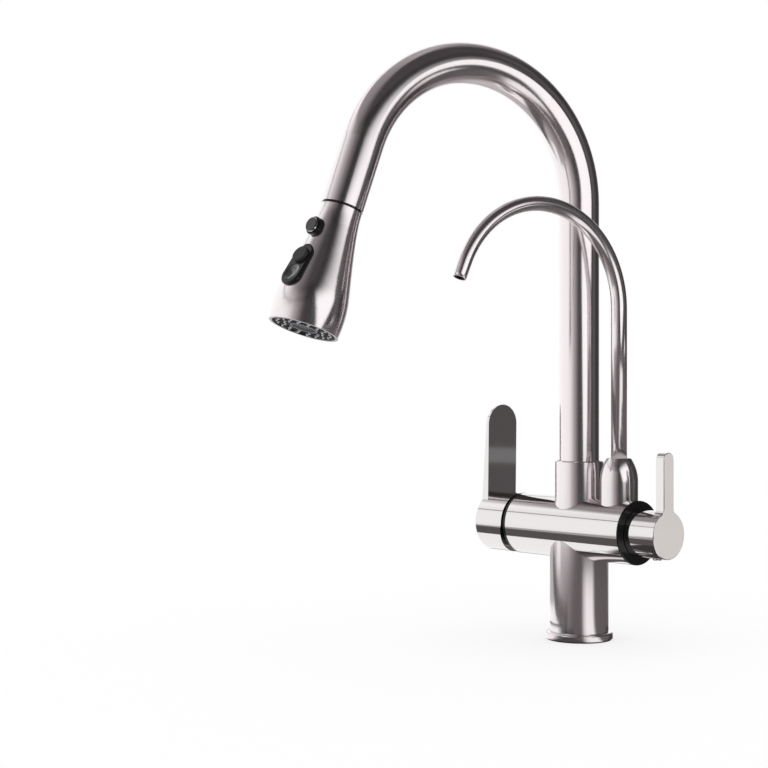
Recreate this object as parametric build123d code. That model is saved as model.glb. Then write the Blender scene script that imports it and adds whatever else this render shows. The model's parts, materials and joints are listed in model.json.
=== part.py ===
from build123d import *
import math
import os

# Three-way kitchen tap: a mixer with a pull-down spray spout, and a separate drinking-water
# spout with its own quarter-turn valve. All sizes are in millimetres.
# The origin is the centre of the column's underside on the deck. +Z is up, -Y is the user's
# side, +X is the drinking-water valve's side.

# Shared clearances
RUNNING = 0.06
FITTED = 0.05
LOOSE = 0.3
OVERRUN = 2.0
EDGE_BREAK = 0.6

# Column and deck flange
COLUMN_RADIUS = 20.5
COLUMN_WALL = 3.3
SPIGOT_STEP = 1.5
SPIGOT_RADIUS = COLUMN_RADIUS - SPIGOT_STEP
FLANGE_STEP = 2.9
FLANGE_RADIUS = COLUMN_RADIUS + FLANGE_STEP
FLANGE_TOP = 5.6
FLANGE_EDGE = 1.3
GASKET_THICKNESS = 1.0
GASKET_RADIUS = FLANGE_RADIUS - GASKET_THICKNESS
SHANK_THREAD_DEPTH = 0.5
SHANK_THREAD_RADIUS = COLUMN_RADIUS - COLUMN_WALL - SHANK_THREAD_DEPTH
SHANK_THREAD_LENGTH = 14.0

# Barrel: the cast valve body that lies across the column
BARREL_HEIGHT = 78.2
BARREL_RADIUS = 21.95
BARREL_LEFT = -52.0
BARREL_RIGHT = 53.4
BODY_SPIGOT_REACH = 30.2
BODY_SPIGOT_BOTTOM = BARREL_HEIGHT - BODY_SPIGOT_REACH
HOSE_PASSAGE_RADIUS = 7.2
PORT_RADIUS = 4.45
PORT_DEPTH = 14.0
PORT_OFFSET = 8.8
CHANNEL_RADIUS = 3.0
OUTLET_CHANNEL_RISE = 7.0
OUTLET_CHANNEL_RADIUS = 2.6

# Main spout and its socket, with rises measured from the barrel's axis
SPOUT_RADIUS = 14.0
SPOUT_WALL = 1.2
COLLAR_RADIUS = 17.1
COLLAR_RISE = 47.2
COLLAR_TOP = BARREL_HEIGHT + COLLAR_RISE
STUB_RADIUS = 15.2
STUB_RISE = 31.8
STUB_TOP = BARREL_HEIGHT + STUB_RISE
SOCKET_RADIUS = 12.6
SOCKET_RISE = 9.8
SOCKET_FLOOR = BARREL_HEIGHT + SOCKET_RISE
INSERT_NECK_LENGTH = 24.0
GROOVE_DEPTH = 1.5
SCREW_RISE = 25.8
SCREW_STATION = BARREL_HEIGHT + SCREW_RISE
SCREW_RADIUS = 2.0
SCREW_TIP_RADIUS = 1.3
SCREW_TIP_LENGTH = 2.6
HEX_SOCKET_RADIUS = 1.1
HEX_SOCKET_DEPTH = 1.6
O_RING_RADIUS = 0.9
ARC_RISE = 227.7
ARC_BASE = BARREL_HEIGHT + ARC_RISE
ARC_RADIUS = 89.95
ARC_ANGLE = 160.4
DROP_LENGTH = 45.6
MAIN_REST_TURN = -10.4

# Drinking-water spout and its bell-shaped nut, with rises from the barrel's axis
DRINK_X = 36.8
BELL_RADIUS = 13.1
BELL_SEAM_RISE = 30.3
BELL_SEAM = BARREL_HEIGHT + BELL_SEAM_RISE
BELL_SHOULDER_RISE = 34.4
BELL_SHOULDER = BARREL_HEIGHT + BELL_SHOULDER_RISE
BELL_RISE = 50.3
BELL_TOP = BARREL_HEIGHT + BELL_RISE
BELL_MOUTH_RADIUS = 8.2
DRINK_STUB_RADIUS = 11.2
DRINK_STUB_RISE = 25.8
DRINK_STUB_TOP = BARREL_HEIGHT + DRINK_STUB_RISE
DRINK_SOCKET_RADIUS = 7.6
DRINK_SOCKET_RISE = 11.8
DRINK_SOCKET_FLOOR = BARREL_HEIGHT + DRINK_SOCKET_RISE
DRINK_FLANGE_RADIUS = 9.4
DRINK_FLANGE_HEIGHT = 3.0
DRINK_RADIUS = 5.5
DRINK_WALL = 0.8
DRINK_ARC_RISE = 153.0
DRINK_ARC_BASE = BARREL_HEIGHT + DRINK_ARC_RISE
DRINK_ARC_RADIUS = 67.9
DRINK_ARC_ANGLE = 157.5
DRINK_DROP_LENGTH = 5.0
DRINK_REST_TURN = -7.6
DRINK_BORE_RADIUS = 3.4

# Mixer cartridge, trim ring and handle, on the barrel's left end
CARTRIDGE_RADIUS = 17.5
CARTRIDGE_SETBACK = 0.4
CARTRIDGE_MOUTH = BARREL_LEFT + CARTRIDGE_SETBACK
CARTRIDGE_NECK_RADIUS = 13.3
CARTRIDGE_NECK_LENGTH = 5.9
CARTRIDGE_SHOULDER = CARTRIDGE_MOUTH + CARTRIDGE_NECK_LENGTH
CARTRIDGE_BODY_LENGTH = 28.5
CARTRIDGE_INNER_END = CARTRIDGE_SHOULDER + CARTRIDGE_BODY_LENGTH
SEAL_RADIUS = 4.4
SEAL_SECTION = 0.9
PIVOT_DEPTH = 4.3
PIVOT_X = BARREL_LEFT + PIVOT_DEPTH
PIVOT_PIN_RADIUS = 1.5
PIVOT_PIN_LENGTH = 19.0
SPINDLE_WIDTH = 8.0
SPINDLE_HEIGHT = 7.0
SPINDLE_TAIL = 3.3
SPINDLE_INNER_END = PIVOT_X + SPINDLE_TAIL
SPINDLE_OUTER_END = -75.2
CARRIER_RADIUS = 10.5
CARRIER_FLOOR = 2.0
CARRIER_SLOT_END = PIVOT_X + math.hypot(SPINDLE_TAIL, SPINDLE_HEIGHT / 2) + LOOSE
CARRIER_INNER_END = CARRIER_SLOT_END + CARRIER_FLOOR
CARRIER_SLOT_HALF_HEIGHT = 7.6
MIXER_RING_LENGTH = 3.5
MIXER_RING_OUTER_END = BARREL_LEFT - MIXER_RING_LENGTH
MIXER_RING_BORE = 12.2
MIXER_RING_DOME_DROP = 1.75
MIXER_RING_DOME_RADIUS = BARREL_RADIUS - MIXER_RING_DOME_DROP
MIXER_HUB_SETBACK = 0.35
MIXER_HUB_RADIUS = BARREL_RADIUS - MIXER_HUB_SETBACK
MIXER_HUB_END = -83.2
MIXER_RIM_GAP = 1.1
MIXER_HUB_RIM = MIXER_RING_OUTER_END - MIXER_RIM_GAP
MIXER_HEEL_GAP = 6.3
MIXER_HUB_HEEL = MIXER_RING_OUTER_END - MIXER_HEEL_GAP
MIXER_HUB_WALL = 2.8
MIXER_HUB_FLOOR = -76.5
MIXER_BOSS_RADIUS = 7.6
MIXER_BOSS_END = -62.0
PADDLE_WIDTH = 28.8
PADDLE_REACH = 86.0
PADDLE_TOP = BARREL_HEIGHT + PADDLE_REACH
PADDLE_INNER_FACE = -76.1
PADDLE_LEAN = 1.2
PADDLE_TIP_THICKNESS = 1.8
MIXER_SCREW_STATION = -70.0
HANDLE_SCREW_RADIUS = 2.5

# Drinking-water headwork, trim ring and lever, on the barrel's right end
HEADWORK_RADIUS = 10.5
HEADWORK_INNER_END = 24.0
HEADWORK_SHOULDER = 46.0
HEADWORK_NECK_RADIUS = 8.0
HEADWORK_MOUTH = 60.5
GLAND_RADIUS = 15.0
GLAND_BORE_RADIUS = 8.6
FILTER_SPINDLE_RADIUS = 4.0
FILTER_SPINDLE_END = 73.0
FILTER_FOOT_LENGTH = 3.8
DISC_THICKNESS = 3.0
DISC_RADIUS = 8.6
DISC_PORT_RADIUS = 2.6
FILTER_RING_LENGTH = 1.3
FILTER_RING_OUTER_END = BARREL_RIGHT + FILTER_RING_LENGTH
FILTER_HUB_RADIUS = 16.1
FILTER_HUB_GAP = 0.5
FILTER_HUB_START = FILTER_RING_OUTER_END + FILTER_HUB_GAP
FILTER_HUB_END = 80.5
FILTER_HUB_WALL = 3.0
FILTER_HUB_FLOOR = 73.8
FILTER_BOSS_RADIUS = 6.6
FILTER_BOSS_START = 63.0
LEVER_WIDTH = 10.3
LEVER_THICKNESS = 6.8
LEVER_REACH = 55.5
LEVER_TOP = BARREL_HEIGHT + LEVER_REACH
LEVER_ROOT_FILLET = 4.0
FILTER_SCREW_STATION = 70.5
PLUG_RADIUS = 3.0
PLUG_PROUD = 1.0

# Spray head, measured from the seam along its own axis
HEAD_LENGTH = 83.8
HEAD_REST_TURN = -14.0
HEAD_SEAM_RADIUS = 13.7
HEAD_NECK_RADIUS = 15.0
HEAD_WAIST_RADIUS = 18.3
HEAD_FLARE_RADIUS = 22.3
HEAD_WIDEST_RADIUS = 23.9
NECK_STATION_SHARE = 0.20
WAIST_STATION_SHARE = 0.43
FLARE_STATION_SHARE = 0.67
WIDEST_STATION_SHARE = 0.86
HEAD_LIP = 0.9
HEAD_FACE_RADIUS = HEAD_WIDEST_RADIUS - HEAD_LIP
HEAD_WALL = 2.0
SEAM_GAP = 0.4
NECK_RING_LENGTH = 1.2
NECK_PLUG_RADIUS = 9.3
NECK_PLUG_LENGTH = 12.0
NECK_FLANGE_RADIUS = 11.2
NECK_FLANGE_LENGTH = 4.0
DOCK_LENGTH = 16.0
DOCK_BORE_RADIUS = 9.6
MAGNET_LENGTH = 4.0
MAGNET_BORE_RADIUS = 10.8
HOSE_RADIUS = 6.0
HOSE_BORE_RADIUS = 3.6
HOSE_TAIL_LENGTH = 40.0
HOSE_NUT_RADIUS = 8.2
HOSE_NUT_LENGTH = 9.0
FACE_BLOCK_LENGTH = 14.0
CORE_RADIUS = 8.4
CORE_END = HEAD_LENGTH - FACE_BLOCK_LENGTH
CORE_BORE_RADIUS = 4.0
CHAMBER_LENGTH = 4.0
CHAMBER_START = CORE_END - CHAMBER_LENGTH
CHAMBER_RADIUS = 19.4
FACE_RECESS = 1.2
FACE_THICKNESS = 5.0
FACE_RING_RADIUS = 22.0
FACE_RING_WIDTH = 1.0
FACE_PLATE_RADIUS = FACE_RING_RADIUS - FACE_RING_WIDTH
NOZZLE_RADIUS = 0.65
NOZZLE_FOOT_RADIUS = 1.05
NOZZLE_PROUD = 1.1
OUTER_NOZZLES = 18
OUTER_NOZZLE_CIRCLE = 17.9
INNER_NOZZLES = 12
INNER_NOZZLE_CIRCLE = 12.9
AERATOR_RADIUS = 9.2
AERATOR_RIM = 1.3
AERATOR_CELL_RADIUS = 0.9
AERATOR_CELL_SPACING = 1.5
AERATOR_CELL_ROWS = 5

# Pause button and the paired spray-mode buttons
BEZEL_LENGTH = 31.0
BEZEL_WIDTH = 16.4
BEZEL_FACE_GAP = 6.9
BEZEL_STATION = CORE_END - BEZEL_LENGTH / 2 - BEZEL_FACE_GAP
BEZEL_PROUD = 3.4
BEZEL_SEAT = HEAD_WAIST_RADIUS + BEZEL_PROUD
BEZEL_SLOPE = 15.5
BEZEL_DEPTH = 8.0
BEZEL_LIP = 0.8
MODE_BUTTON_RADIUS = 5.7
UPPER_BUTTON_OFFSET = 6.5
LOWER_BUTTON_OFFSET = -6.2
UPPER_BUTTON_PROUD = 2.3
LOWER_BUTTON_DROP = 0.3
MODE_STROKE = 2.0
DISH_RADIUS = 14.0
DISH_DEPTH = 1.1
PAUSE_STATION_SHARE = 0.63
PAUSE_STATION = (BEZEL_STATION - BEZEL_LENGTH / 2) * PAUSE_STATION_SHARE
PAUSE_COLLAR_RADIUS = 6.1
PAUSE_CAP_RADIUS = 5.0
PAUSE_COLLAR_PROUD = 3.4
PAUSE_COLLAR_TOP = HEAD_NECK_RADIUS + PAUSE_COLLAR_PROUD
PAUSE_CAP_PROUD = 5.5
PAUSE_CAP_TOP = HEAD_NECK_RADIUS + PAUSE_CAP_PROUD
PAUSE_CAP_LENGTH = 7.7
PAUSE_FOOT = PAUSE_CAP_TOP - PAUSE_CAP_LENGTH
PAUSE_CROWN = 0.5
PAUSE_RIM_WIDTH = 0.5
PAUSE_RIM_DEPTH = 1.5

BASE = (Align.CENTER, Align.CENTER, Align.MIN)
NODES = {}


def node(function):
    """Keeps the solid that a function makes under the function's name."""
    NODES[function.__name__] = function
    return function


def post(radius, low, high, x=0, y=0):
    """An upright cylinder between two heights."""
    return Pos(x, y, low) * Cylinder(radius, high - low, align=BASE)


def bar(radius, start, end, y=0, z=BARREL_HEIGHT):
    """A cylinder along X between two stations."""
    return Pos(start, y, z) * Rot(0, 90, 0) * Cylinder(radius, end - start, align=BASE)


def lathe(*outline):
    """A solid turned about Z from (radius, height) points."""
    return revolve(Plane.XZ * make_face(Polyline(*outline, close=True)), Axis.Z)


def tube(outer, inner, low, high):
    """A plain ring about Z."""
    return post(outer, low, high) - post(inner, low - OVERRUN, high + OVERRUN)


def on_barrel(solid):
    """Moves a solid made about Z so that its axis is the barrel's, its height along X."""
    return Pos(0, 0, BARREL_HEIGHT) * Rot(0, 90, 0) * solid


def ring(major, minor, height):
    """An O-ring about Z at a height."""
    return Pos(0, 0, height) * Torus(major, minor)


def grub(radius, tip_radius, tip_length, length):
    """A socket set screw along Z: the tip starts at zero and the socket opens at the far end."""
    screw = post(tip_radius, 0, tip_length) + post(radius, tip_length, length)
    socket = extrude(RegularPolygon(HEX_SOCKET_RADIUS, 6), HEX_SOCKET_DEPTH + OVERRUN)
    return screw - Pos(0, 0, length - HEX_SOCKET_DEPTH) * socket


# Column, flange and gasket

@node
def column():
    lower = post(SPIGOT_RADIUS, 0, FLANGE_TOP)
    upper = post(COLUMN_RADIUS, FLANGE_TOP, BARREL_HEIGHT)
    bore = post(COLUMN_RADIUS - COLUMN_WALL, SHANK_THREAD_LENGTH, BARREL_HEIGHT + OVERRUN)
    thread = post(SHANK_THREAD_RADIUS, -OVERRUN, SHANK_THREAD_LENGTH + OVERRUN)
    barrel = bar(BARREL_RADIUS + FITTED, BARREL_LEFT, BARREL_RIGHT)
    return lower + upper - bore - thread - barrel


@node
def base_flange():
    body = tube(FLANGE_RADIUS, SPIGOT_RADIUS + FITTED, GASKET_THICKNESS, FLANGE_TOP)
    rim = body.edges().filter_by(GeomType.CIRCLE).sort_by(Axis.Z)[-2:].sort_by(SortBy.RADIUS)[-1]
    return fillet(rim, FLANGE_EDGE)


@node
def base_gasket():
    return tube(GASKET_RADIUS, SPIGOT_RADIUS + FITTED, 0, GASKET_THICKNESS)


# Valve body: the cast barrel with its sockets, ports and waterways

def waterways():
    """Ports in the spigot's underside and the channels from them to the two sockets."""
    cuts = post(HOSE_PASSAGE_RADIUS, BODY_SPIGOT_BOTTOM - OVERRUN, SOCKET_FLOOR + OVERRUN)
    for side_x in (-1, 1):
        for side_y in (-1, 1):
            x, y = side_x * PORT_OFFSET, side_y * PORT_OFFSET
            cuts += post(PORT_RADIUS, BODY_SPIGOT_BOTTOM - OVERRUN, BODY_SPIGOT_BOTTOM + PORT_DEPTH, x, y)
            rise = OUTLET_CHANNEL_RISE if (side_x, side_y) == (1, -1) else 0
            top = BARREL_HEIGHT + rise + CHANNEL_RADIUS
            cuts += post(CHANNEL_RADIUS, BODY_SPIGOT_BOTTOM + PORT_DEPTH - OVERRUN, top, x, y)
    inlet_start = CARTRIDGE_INNER_END - OVERRUN
    for y in (-PORT_OFFSET, PORT_OFFSET):
        cuts += bar(CHANNEL_RADIUS, inlet_start, -PORT_OFFSET, y)
    cuts += bar(CHANNEL_RADIUS, PORT_OFFSET, HEADWORK_INNER_END + OVERRUN, PORT_OFFSET)
    outlet_y = -PORT_OFFSET - CHANNEL_RADIUS
    cuts += bar(OUTLET_CHANNEL_RADIUS, inlet_start, PORT_OFFSET, outlet_y,
                BARREL_HEIGHT + OUTLET_CHANNEL_RISE)
    return cuts


@node
def valve_body():
    body = bar(BARREL_RADIUS, BARREL_LEFT, BARREL_RIGHT)
    body += post(COLUMN_RADIUS - COLUMN_WALL - FITTED, BODY_SPIGOT_BOTTOM, BARREL_HEIGHT)
    body += post(STUB_RADIUS, BARREL_HEIGHT, STUB_TOP)
    body += post(DRINK_STUB_RADIUS, BARREL_HEIGHT, DRINK_STUB_TOP, DRINK_X)
    body -= bar(CARTRIDGE_RADIUS + FITTED, BARREL_LEFT - OVERRUN, CARTRIDGE_INNER_END)
    body -= bar(HEADWORK_RADIUS + FITTED, HEADWORK_INNER_END, BARREL_RIGHT + OVERRUN)
    body -= bar(GLAND_RADIUS + FITTED, HEADWORK_SHOULDER, BARREL_RIGHT + OVERRUN)
    body -= post(SOCKET_RADIUS, SOCKET_FLOOR, STUB_TOP + OVERRUN)
    body -= post(DRINK_SOCKET_RADIUS, DRINK_SOCKET_FLOOR, DRINK_STUB_TOP + OVERRUN, DRINK_X)
    body -= post(CHANNEL_RADIUS, BARREL_HEIGHT, DRINK_SOCKET_FLOOR + OVERRUN, DRINK_X)
    body -= Pos(0, STUB_RADIUS, SCREW_STATION) * Rot(90, 0, 0) * Cylinder(
        SCREW_RADIUS + FITTED, COLLAR_RADIUS - SOCKET_RADIUS + OVERRUN)
    return body - waterways()


@node
def spout_collar():
    sleeve = tube(COLLAR_RADIUS, STUB_RADIUS + FITTED, BARREL_HEIGHT, COLLAR_TOP)
    top = sleeve.edges().filter_by(GeomType.CIRCLE).sort_by(Axis.Z)[-2:].sort_by(SortBy.RADIUS)[-1]
    sleeve = chamfer(top, EDGE_BREAK)
    sleeve -= Pos(0, STUB_RADIUS, SCREW_STATION) * Rot(90, 0, 0) * Cylinder(
        SCREW_RADIUS + FITTED, COLLAR_RADIUS - SOCKET_RADIUS + OVERRUN)
    return sleeve - bar(BARREL_RADIUS + FITTED, BARREL_LEFT, BARREL_RIGHT)


@node
def spout_bush():
    return tube(STUB_RADIUS, SPOUT_RADIUS + RUNNING, STUB_TOP, COLLAR_TOP - EDGE_BREAK)


@node
def spout_retaining_screw():
    tip = SOCKET_RADIUS - GROOVE_DEPTH + LOOSE
    screw = grub(SCREW_RADIUS, SCREW_TIP_RADIUS, SCREW_TIP_LENGTH, COLLAR_RADIUS - LOOSE - tip)
    return Pos(0, tip, SCREW_STATION) * Rot(-90, 0, 0) * screw


# Main spout: tube, swivel insert, seals and the dock for the spray head

def arch_path(low, high, bend_radius, bend_angle, drop):
    """An upright run, a bend towards -Y and a straight drop, tangent to one another."""
    rise = Line((0, low), (0, high))
    bend = JernArc(start=(0, high), tangent=(0, 1), radius=bend_radius, arc_size=bend_angle)
    fall = Line(bend @ 1, bend @ 1 + (bend % 1) * drop)
    return Plane.YZ * (rise + bend + fall)


def arch_tube(outer, inner, low, high, bend_radius, bend_angle, drop):
    """A round tube along an arch path."""
    path = arch_path(low, high, bend_radius, bend_angle, drop)
    section = Pos(0, 0, low) * (Circle(outer) - Circle(inner))
    return sweep(section, path=path)


def turned_main(solid):
    """Turns a main-spout solid from the front to where the spout stands at rest."""
    return Rot(0, 0, MAIN_REST_TURN) * solid


@node
def spout_tube():
    return turned_main(arch_tube(SPOUT_RADIUS, SPOUT_RADIUS - SPOUT_WALL, STUB_TOP + LOOSE,
                                 ARC_BASE, ARC_RADIUS, ARC_ANGLE, DROP_LENGTH))


def o_ring_stations(low, high):
    """Two seals, one and two thirds of the way up between two heights."""
    span = high - low
    return (low + span / 3, low + 2 * span / 3)


def seal_groove(journal, station):
    """The cut that an O-ring lies in, level with the journal's skin."""
    return tube(journal + OVERRUN, journal - 2 * O_RING_RADIUS - FITTED,
                station - O_RING_RADIUS - FITTED, station + O_RING_RADIUS + FITTED)


@node
def spout_insert():
    journal = SOCKET_RADIUS - RUNNING
    sealed_top = SCREW_STATION - SCREW_RADIUS
    body = post(journal, SOCKET_FLOOR + LOOSE, STUB_TOP + LOOSE)
    neck = SPOUT_RADIUS - SPOUT_WALL - FITTED
    body += post(neck, STUB_TOP + LOOSE, STUB_TOP + INSERT_NECK_LENGTH)
    body -= post(HOSE_PASSAGE_RADIUS, SOCKET_FLOOR - OVERRUN, STUB_TOP + INSERT_NECK_LENGTH + OVERRUN)
    for station in o_ring_stations(SOCKET_FLOOR, sealed_top):
        body -= seal_groove(journal, station)
    body -= tube(journal + OVERRUN, journal - GROOVE_DEPTH, SCREW_STATION - SCREW_RADIUS,
                 SCREW_STATION + SCREW_RADIUS)
    return turned_main(body)


@node
def spout_o_rings():
    major = SOCKET_RADIUS - RUNNING - O_RING_RADIUS
    sealed_top = SCREW_STATION - SCREW_RADIUS
    return Compound([ring(major, O_RING_RADIUS, z) for z in o_ring_stations(SOCKET_FLOOR, sealed_top)])


def spray_location():
    """The seam's centre: Z along the spray head, X out through the buttons, as they stand at rest."""
    turn = math.radians(ARC_ANGLE)
    y = -(ARC_RADIUS * (1 - math.cos(turn)) + DROP_LENGTH * math.sin(turn))
    z = ARC_BASE + ARC_RADIUS * math.sin(turn) + DROP_LENGTH * math.cos(turn)
    along = (0, -math.sin(turn), math.cos(turn))
    outwards = (0, math.cos(turn), math.sin(turn))
    seam = Plane(origin=(0, y, z), x_dir=outwards, z_dir=along)
    return Rot(0, 0, MAIN_REST_TURN) * seam.location * Rot(0, 0, HEAD_REST_TURN)


def on_head(solid):
    """Moves a solid made about Z, with the seam at zero, to the end of the main spout."""
    return spray_location() * solid


@node
def docking_sleeve():
    outer = SPOUT_RADIUS - SPOUT_WALL - FITTED
    sleeve = tube(outer, DOCK_BORE_RADIUS, -DOCK_LENGTH, -SEAM_GAP)
    pocket = tube(outer + OVERRUN, MAGNET_BORE_RADIUS, -DOCK_LENGTH / 2 - MAGNET_LENGTH / 2,
                  -DOCK_LENGTH / 2 + MAGNET_LENGTH / 2)
    return on_head(sleeve - pocket)


@node
def docking_magnet():
    outer = SPOUT_RADIUS - SPOUT_WALL - FITTED
    return on_head(tube(outer, MAGNET_BORE_RADIUS + FITTED,
                        -DOCK_LENGTH / 2 - MAGNET_LENGTH / 2 + FITTED,
                        -DOCK_LENGTH / 2 + MAGNET_LENGTH / 2 - FITTED))


@node
def pull_hose():
    drop = DROP_LENGTH - HOSE_TAIL_LENGTH - LOOSE
    return turned_main(arch_tube(HOSE_RADIUS, HOSE_BORE_RADIUS, BODY_SPIGOT_BOTTOM + LOOSE,
                                 ARC_BASE, ARC_RADIUS, ARC_ANGLE, drop))


# Drinking-water spout

@node
def drinking_outlet_sleeve():
    sleeve = Pos(DRINK_X, 0, 0) * tube(BELL_RADIUS, DRINK_STUB_RADIUS + FITTED,
                                       BARREL_HEIGHT, BELL_SEAM - FITTED)
    return sleeve - bar(BARREL_RADIUS + FITTED, BARREL_LEFT, BARREL_RIGHT)


@node
def drinking_spout_cap():
    shoulder = (BELL_RADIUS, BELL_SHOULDER)
    mouth = (BELL_MOUTH_RADIUS, BELL_TOP)
    inner = DRINK_STUB_RADIUS + FITTED
    clamp = DRINK_STUB_TOP + DRINK_FLANGE_HEIGHT + 2 * LOOSE
    bore = BELL_MOUTH_RADIUS - EDGE_BREAK * 2
    outline = [
        Line((BELL_RADIUS, BELL_SEAM), shoulder),
        TangentArc(shoulder, mouth, tangent=(0, 1)),
        Line(mouth, (bore, BELL_TOP)),
        Line((bore, BELL_TOP), (bore, clamp)),
        Line((bore, clamp), (inner, clamp)),
        Line((inner, clamp), (inner, BELL_SEAM)),
        Line((inner, BELL_SEAM), (BELL_RADIUS, BELL_SEAM)),
    ]
    return Pos(DRINK_X, 0, 0) * revolve(Plane.XZ * make_face(Wire(outline)), Axis.Z)


@node
def drinking_spout_bush():
    outer = BELL_MOUTH_RADIUS - EDGE_BREAK * 2 - FITTED
    low = DRINK_STUB_TOP + DRINK_FLANGE_HEIGHT + 2 * LOOSE
    return Pos(DRINK_X, 0, 0) * tube(outer, DRINK_RADIUS + RUNNING, low, BELL_TOP - EDGE_BREAK)


def turned_drinking(solid):
    """Places a drinking-spout solid made about Z, turned to where it stands at rest."""
    return Pos(DRINK_X, 0, 0) * Rot(0, 0, DRINK_REST_TURN) * solid


@node
def drinking_spout_tube():
    return turned_drinking(arch_tube(DRINK_RADIUS, DRINK_RADIUS - DRINK_WALL,
                                     DRINK_STUB_TOP + LOOSE, DRINK_ARC_BASE, DRINK_ARC_RADIUS,
                                     DRINK_ARC_ANGLE, DRINK_DROP_LENGTH))


@node
def drinking_spout_insert():
    journal = DRINK_SOCKET_RADIUS - RUNNING
    flange_low = DRINK_STUB_TOP + LOOSE
    body = post(journal, DRINK_SOCKET_FLOOR + LOOSE, flange_low)
    flange = tube(DRINK_FLANGE_RADIUS, DRINK_RADIUS + FITTED, flange_low,
                  flange_low + DRINK_FLANGE_HEIGHT)
    body += flange
    body -= post(DRINK_BORE_RADIUS, DRINK_SOCKET_FLOOR - OVERRUN, flange_low + OVERRUN)
    body -= post(DRINK_RADIUS + FITTED, flange_low, flange_low + DRINK_FLANGE_HEIGHT + OVERRUN)
    for station in o_ring_stations(DRINK_SOCKET_FLOOR, DRINK_STUB_TOP):
        body -= seal_groove(journal, station)
    return turned_drinking(body)


@node
def drinking_spout_o_rings():
    major = DRINK_SOCKET_RADIUS - RUNNING - O_RING_RADIUS
    stations = o_ring_stations(DRINK_SOCKET_FLOOR, DRINK_STUB_TOP)
    return Compound([turned_drinking(ring(major, O_RING_RADIUS, z)) for z in stations])


# Mixer cartridge and its handle

@node
def mixer_cartridge():
    body = bar(CARTRIDGE_RADIUS, CARTRIDGE_SHOULDER, CARTRIDGE_INNER_END - SEAL_SECTION)
    body += bar(CARTRIDGE_NECK_RADIUS, CARTRIDGE_MOUTH, CARTRIDGE_SHOULDER)
    body -= bar(CARRIER_RADIUS + RUNNING, CARTRIDGE_MOUTH - OVERRUN, CARRIER_INNER_END + LOOSE)
    for y in (-PORT_OFFSET, PORT_OFFSET):
        body -= bar(CHANNEL_RADIUS, CARTRIDGE_INNER_END - PORT_DEPTH, CARTRIDGE_INNER_END + OVERRUN, y)
    return body


@node
def mixer_cartridge_seals():
    station = CARTRIDGE_INNER_END - SEAL_SECTION / 2
    seals = []
    for y in (-PORT_OFFSET, PORT_OFFSET):
        face = Circle(SEAL_RADIUS) - Circle(CHANNEL_RADIUS + FITTED)
        seal = extrude(face, SEAL_SECTION)
        seals.append(Pos(station - SEAL_SECTION / 2, y, BARREL_HEIGHT) * Rot(0, 90, 0) * seal)
    return Compound(seals)


@node
def mixer_retaining_nut():
    solid = bar(CARTRIDGE_RADIUS - FITTED, BARREL_LEFT + FITTED, CARTRIDGE_SHOULDER)
    return solid - bar(CARTRIDGE_NECK_RADIUS + FITTED, BARREL_LEFT - OVERRUN, BARREL_LEFT + PORT_DEPTH)


@node
def mixer_trim_ring():
    back, front = BARREL_LEFT, MIXER_RING_OUTER_END
    return on_barrel(lathe(
        (MIXER_RING_BORE, back), (BARREL_RADIUS, back), (BARREL_RADIUS, front + FLANGE_EDGE),
        (MIXER_RING_DOME_RADIUS, front), (MIXER_RING_BORE, front)))


@node
def mixer_carrier():
    body = bar(CARRIER_RADIUS, CARTRIDGE_MOUTH, CARRIER_INNER_END)
    slot_width = SPINDLE_WIDTH + 2 * LOOSE
    slot = Pos((CARRIER_SLOT_END + CARTRIDGE_MOUTH - OVERRUN) / 2, 0, BARREL_HEIGHT) * Box(
        CARRIER_SLOT_END - CARTRIDGE_MOUTH + OVERRUN, slot_width, 2 * CARRIER_SLOT_HALF_HEIGHT)
    pin_hole = Pos(PIVOT_X, 0, BARREL_HEIGHT) * Rot(90, 0, 0) * Cylinder(
        PIVOT_PIN_RADIUS + FITTED, PIVOT_PIN_LENGTH + OVERRUN)
    return body - slot - pin_hole


@node
def mixer_pivot_pin():
    return Pos(PIVOT_X, 0, BARREL_HEIGHT) * Rot(90, 0, 0) * Cylinder(PIVOT_PIN_RADIUS, PIVOT_PIN_LENGTH)


@node
def mixer_spindle():
    length = SPINDLE_INNER_END - SPINDLE_OUTER_END
    middle = (SPINDLE_INNER_END + SPINDLE_OUTER_END) / 2
    body = Pos(middle, 0, BARREL_HEIGHT) * Box(length, SPINDLE_WIDTH, SPINDLE_HEIGHT)
    hole = Pos(PIVOT_X, 0, BARREL_HEIGHT) * Rot(90, 0, 0) * Cylinder(
        PIVOT_PIN_RADIUS + RUNNING, SPINDLE_WIDTH + OVERRUN)
    body = chamfer(body.edges().filter_by(Axis.X), EDGE_BREAK)
    return body - hole


def side_wedge(half_width, *outline):
    """A block whose outline is drawn in the X-Z plane, as wide along Y on both sides."""
    face = Plane.XZ * make_face(Polyline(*outline, close=True))
    return extrude(face, amount=half_width, both=True)


def paddle():
    """The flat grip: a tapering blade with a half-round top."""
    half = PADDLE_WIDTH / 2
    tip = PADDLE_INNER_FACE - PADDLE_TIP_THICKNESS
    foot = PADDLE_INNER_FACE - PADDLE_LEAN
    blade = side_wedge(half, (foot, BARREL_HEIGHT), (PADDLE_INNER_FACE, PADDLE_TOP),
                       (tip, PADDLE_TOP), (MIXER_HUB_END, BARREL_HEIGHT + half),
                       (MIXER_HUB_END, BARREL_HEIGHT))
    front = Rectangle(PADDLE_WIDTH, PADDLE_TOP - half - BARREL_HEIGHT, align=(Align.CENTER, Align.MIN))
    front += Pos(0, PADDLE_TOP - half - BARREL_HEIGHT) * Circle(half)
    placed = Plane.YZ * Pos(0, BARREL_HEIGHT) * front
    shape = extrude(placed, amount=-MIXER_HUB_END * 2)
    return blade & mirror(shape, about=Plane.YZ)


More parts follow.
